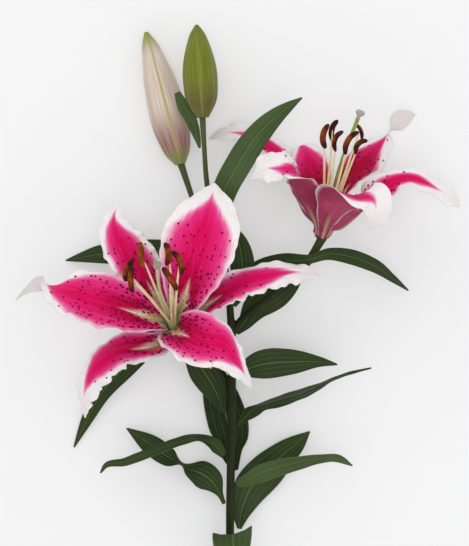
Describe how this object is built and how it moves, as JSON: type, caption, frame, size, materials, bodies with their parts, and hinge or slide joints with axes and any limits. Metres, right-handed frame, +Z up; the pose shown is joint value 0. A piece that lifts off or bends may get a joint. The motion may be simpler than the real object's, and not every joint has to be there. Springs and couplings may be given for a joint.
{
  "type": "cut lily",
  "caption": "Cut lily lying on its side: leafy stem with open, recurved pink and white flowers and closed buds on short stalks.",
  "frame": {"origin": "middle of the whole plant's bounding box, on the table it lies on", "axes": "+Y along the stem from its cut end towards the buds, +X towards the side flower, +Z up from the table"},
  "size_m": [0.2912, 0.4182, 0.1242],
  "materials": {
    "tepal": "matte",
    "filament": "satin",
    "anther": "matte",
    "pistil": "satin",
    "bud_pink": "satin",
    "bud_green": "satin",
    "leaf": "satin",
    "stem": "satin"
  },
  "bodies": {
    "root": {"bud_green": "bud_green", "bud_long": "bud_pink", "front_anther_left_inner": "anther", "front_anther_left_outer": "anther", "front_anther_left_upper": "anther", "front_anther_right_inner": "anther", "front_anther_right_outer": "anther", "front_anther_right_upper": "anther", "front_filament_left_inner": "filament", "front_filament_left_outer": "filament", "front_filament_left_upper": "filament", "front_filament_right_inner": "filament", "front_filament_right_outer": "filament", "front_filament_right_upper": "filament", "front_petal_left": "tepal", "front_petal_right": "tepal", "front_petal_top": "tepal", "front_pistil": "pistil", "front_sepal_left": "tepal", "front_sepal_right": "tepal", "front_sepal_top": "tepal", "leaf_behind_flower": "leaf", "leaf_behind_stem": "leaf", "leaf_bract": "leaf", "leaf_foot": "leaf", "leaf_left_arching": "leaf", "leaf_left_twisted": "leaf", "leaf_lower_left": "leaf", "leaf_pedicel": "leaf", "leaf_right_arching": "leaf", "leaf_right_broad": "leaf", "leaf_right_lance": "leaf", "leaf_right_upper": "leaf", "leaf_side_flower": "leaf", "leaf_top_right": "leaf", "leaf_upper_left": "leaf", "leaf_upper_right": "leaf", "side_anther_far_left": "anther", "side_anther_far_right": "anther", "side_anther_left": "anther", "side_anther_middle": "anther", "side_anther_near_right": "anther", "side_anther_right": "anther", "side_filament_far_left": "filament", "side_filament_far_right": "filament", "side_filament_left": "filament", "side_filament_middle": "filament", "side_filament_near_right": "filament", "side_filament_right": "filament", "side_petal_back": "tepal", "side_petal_front": "tepal", "side_petal_right": "tepal", "side_pistil": "pistil", "side_sepal_front": "tepal", "side_sepal_left": "tepal", "side_sepal_right": "tepal", "stem": "stem"}
  },
  "joints": []
}
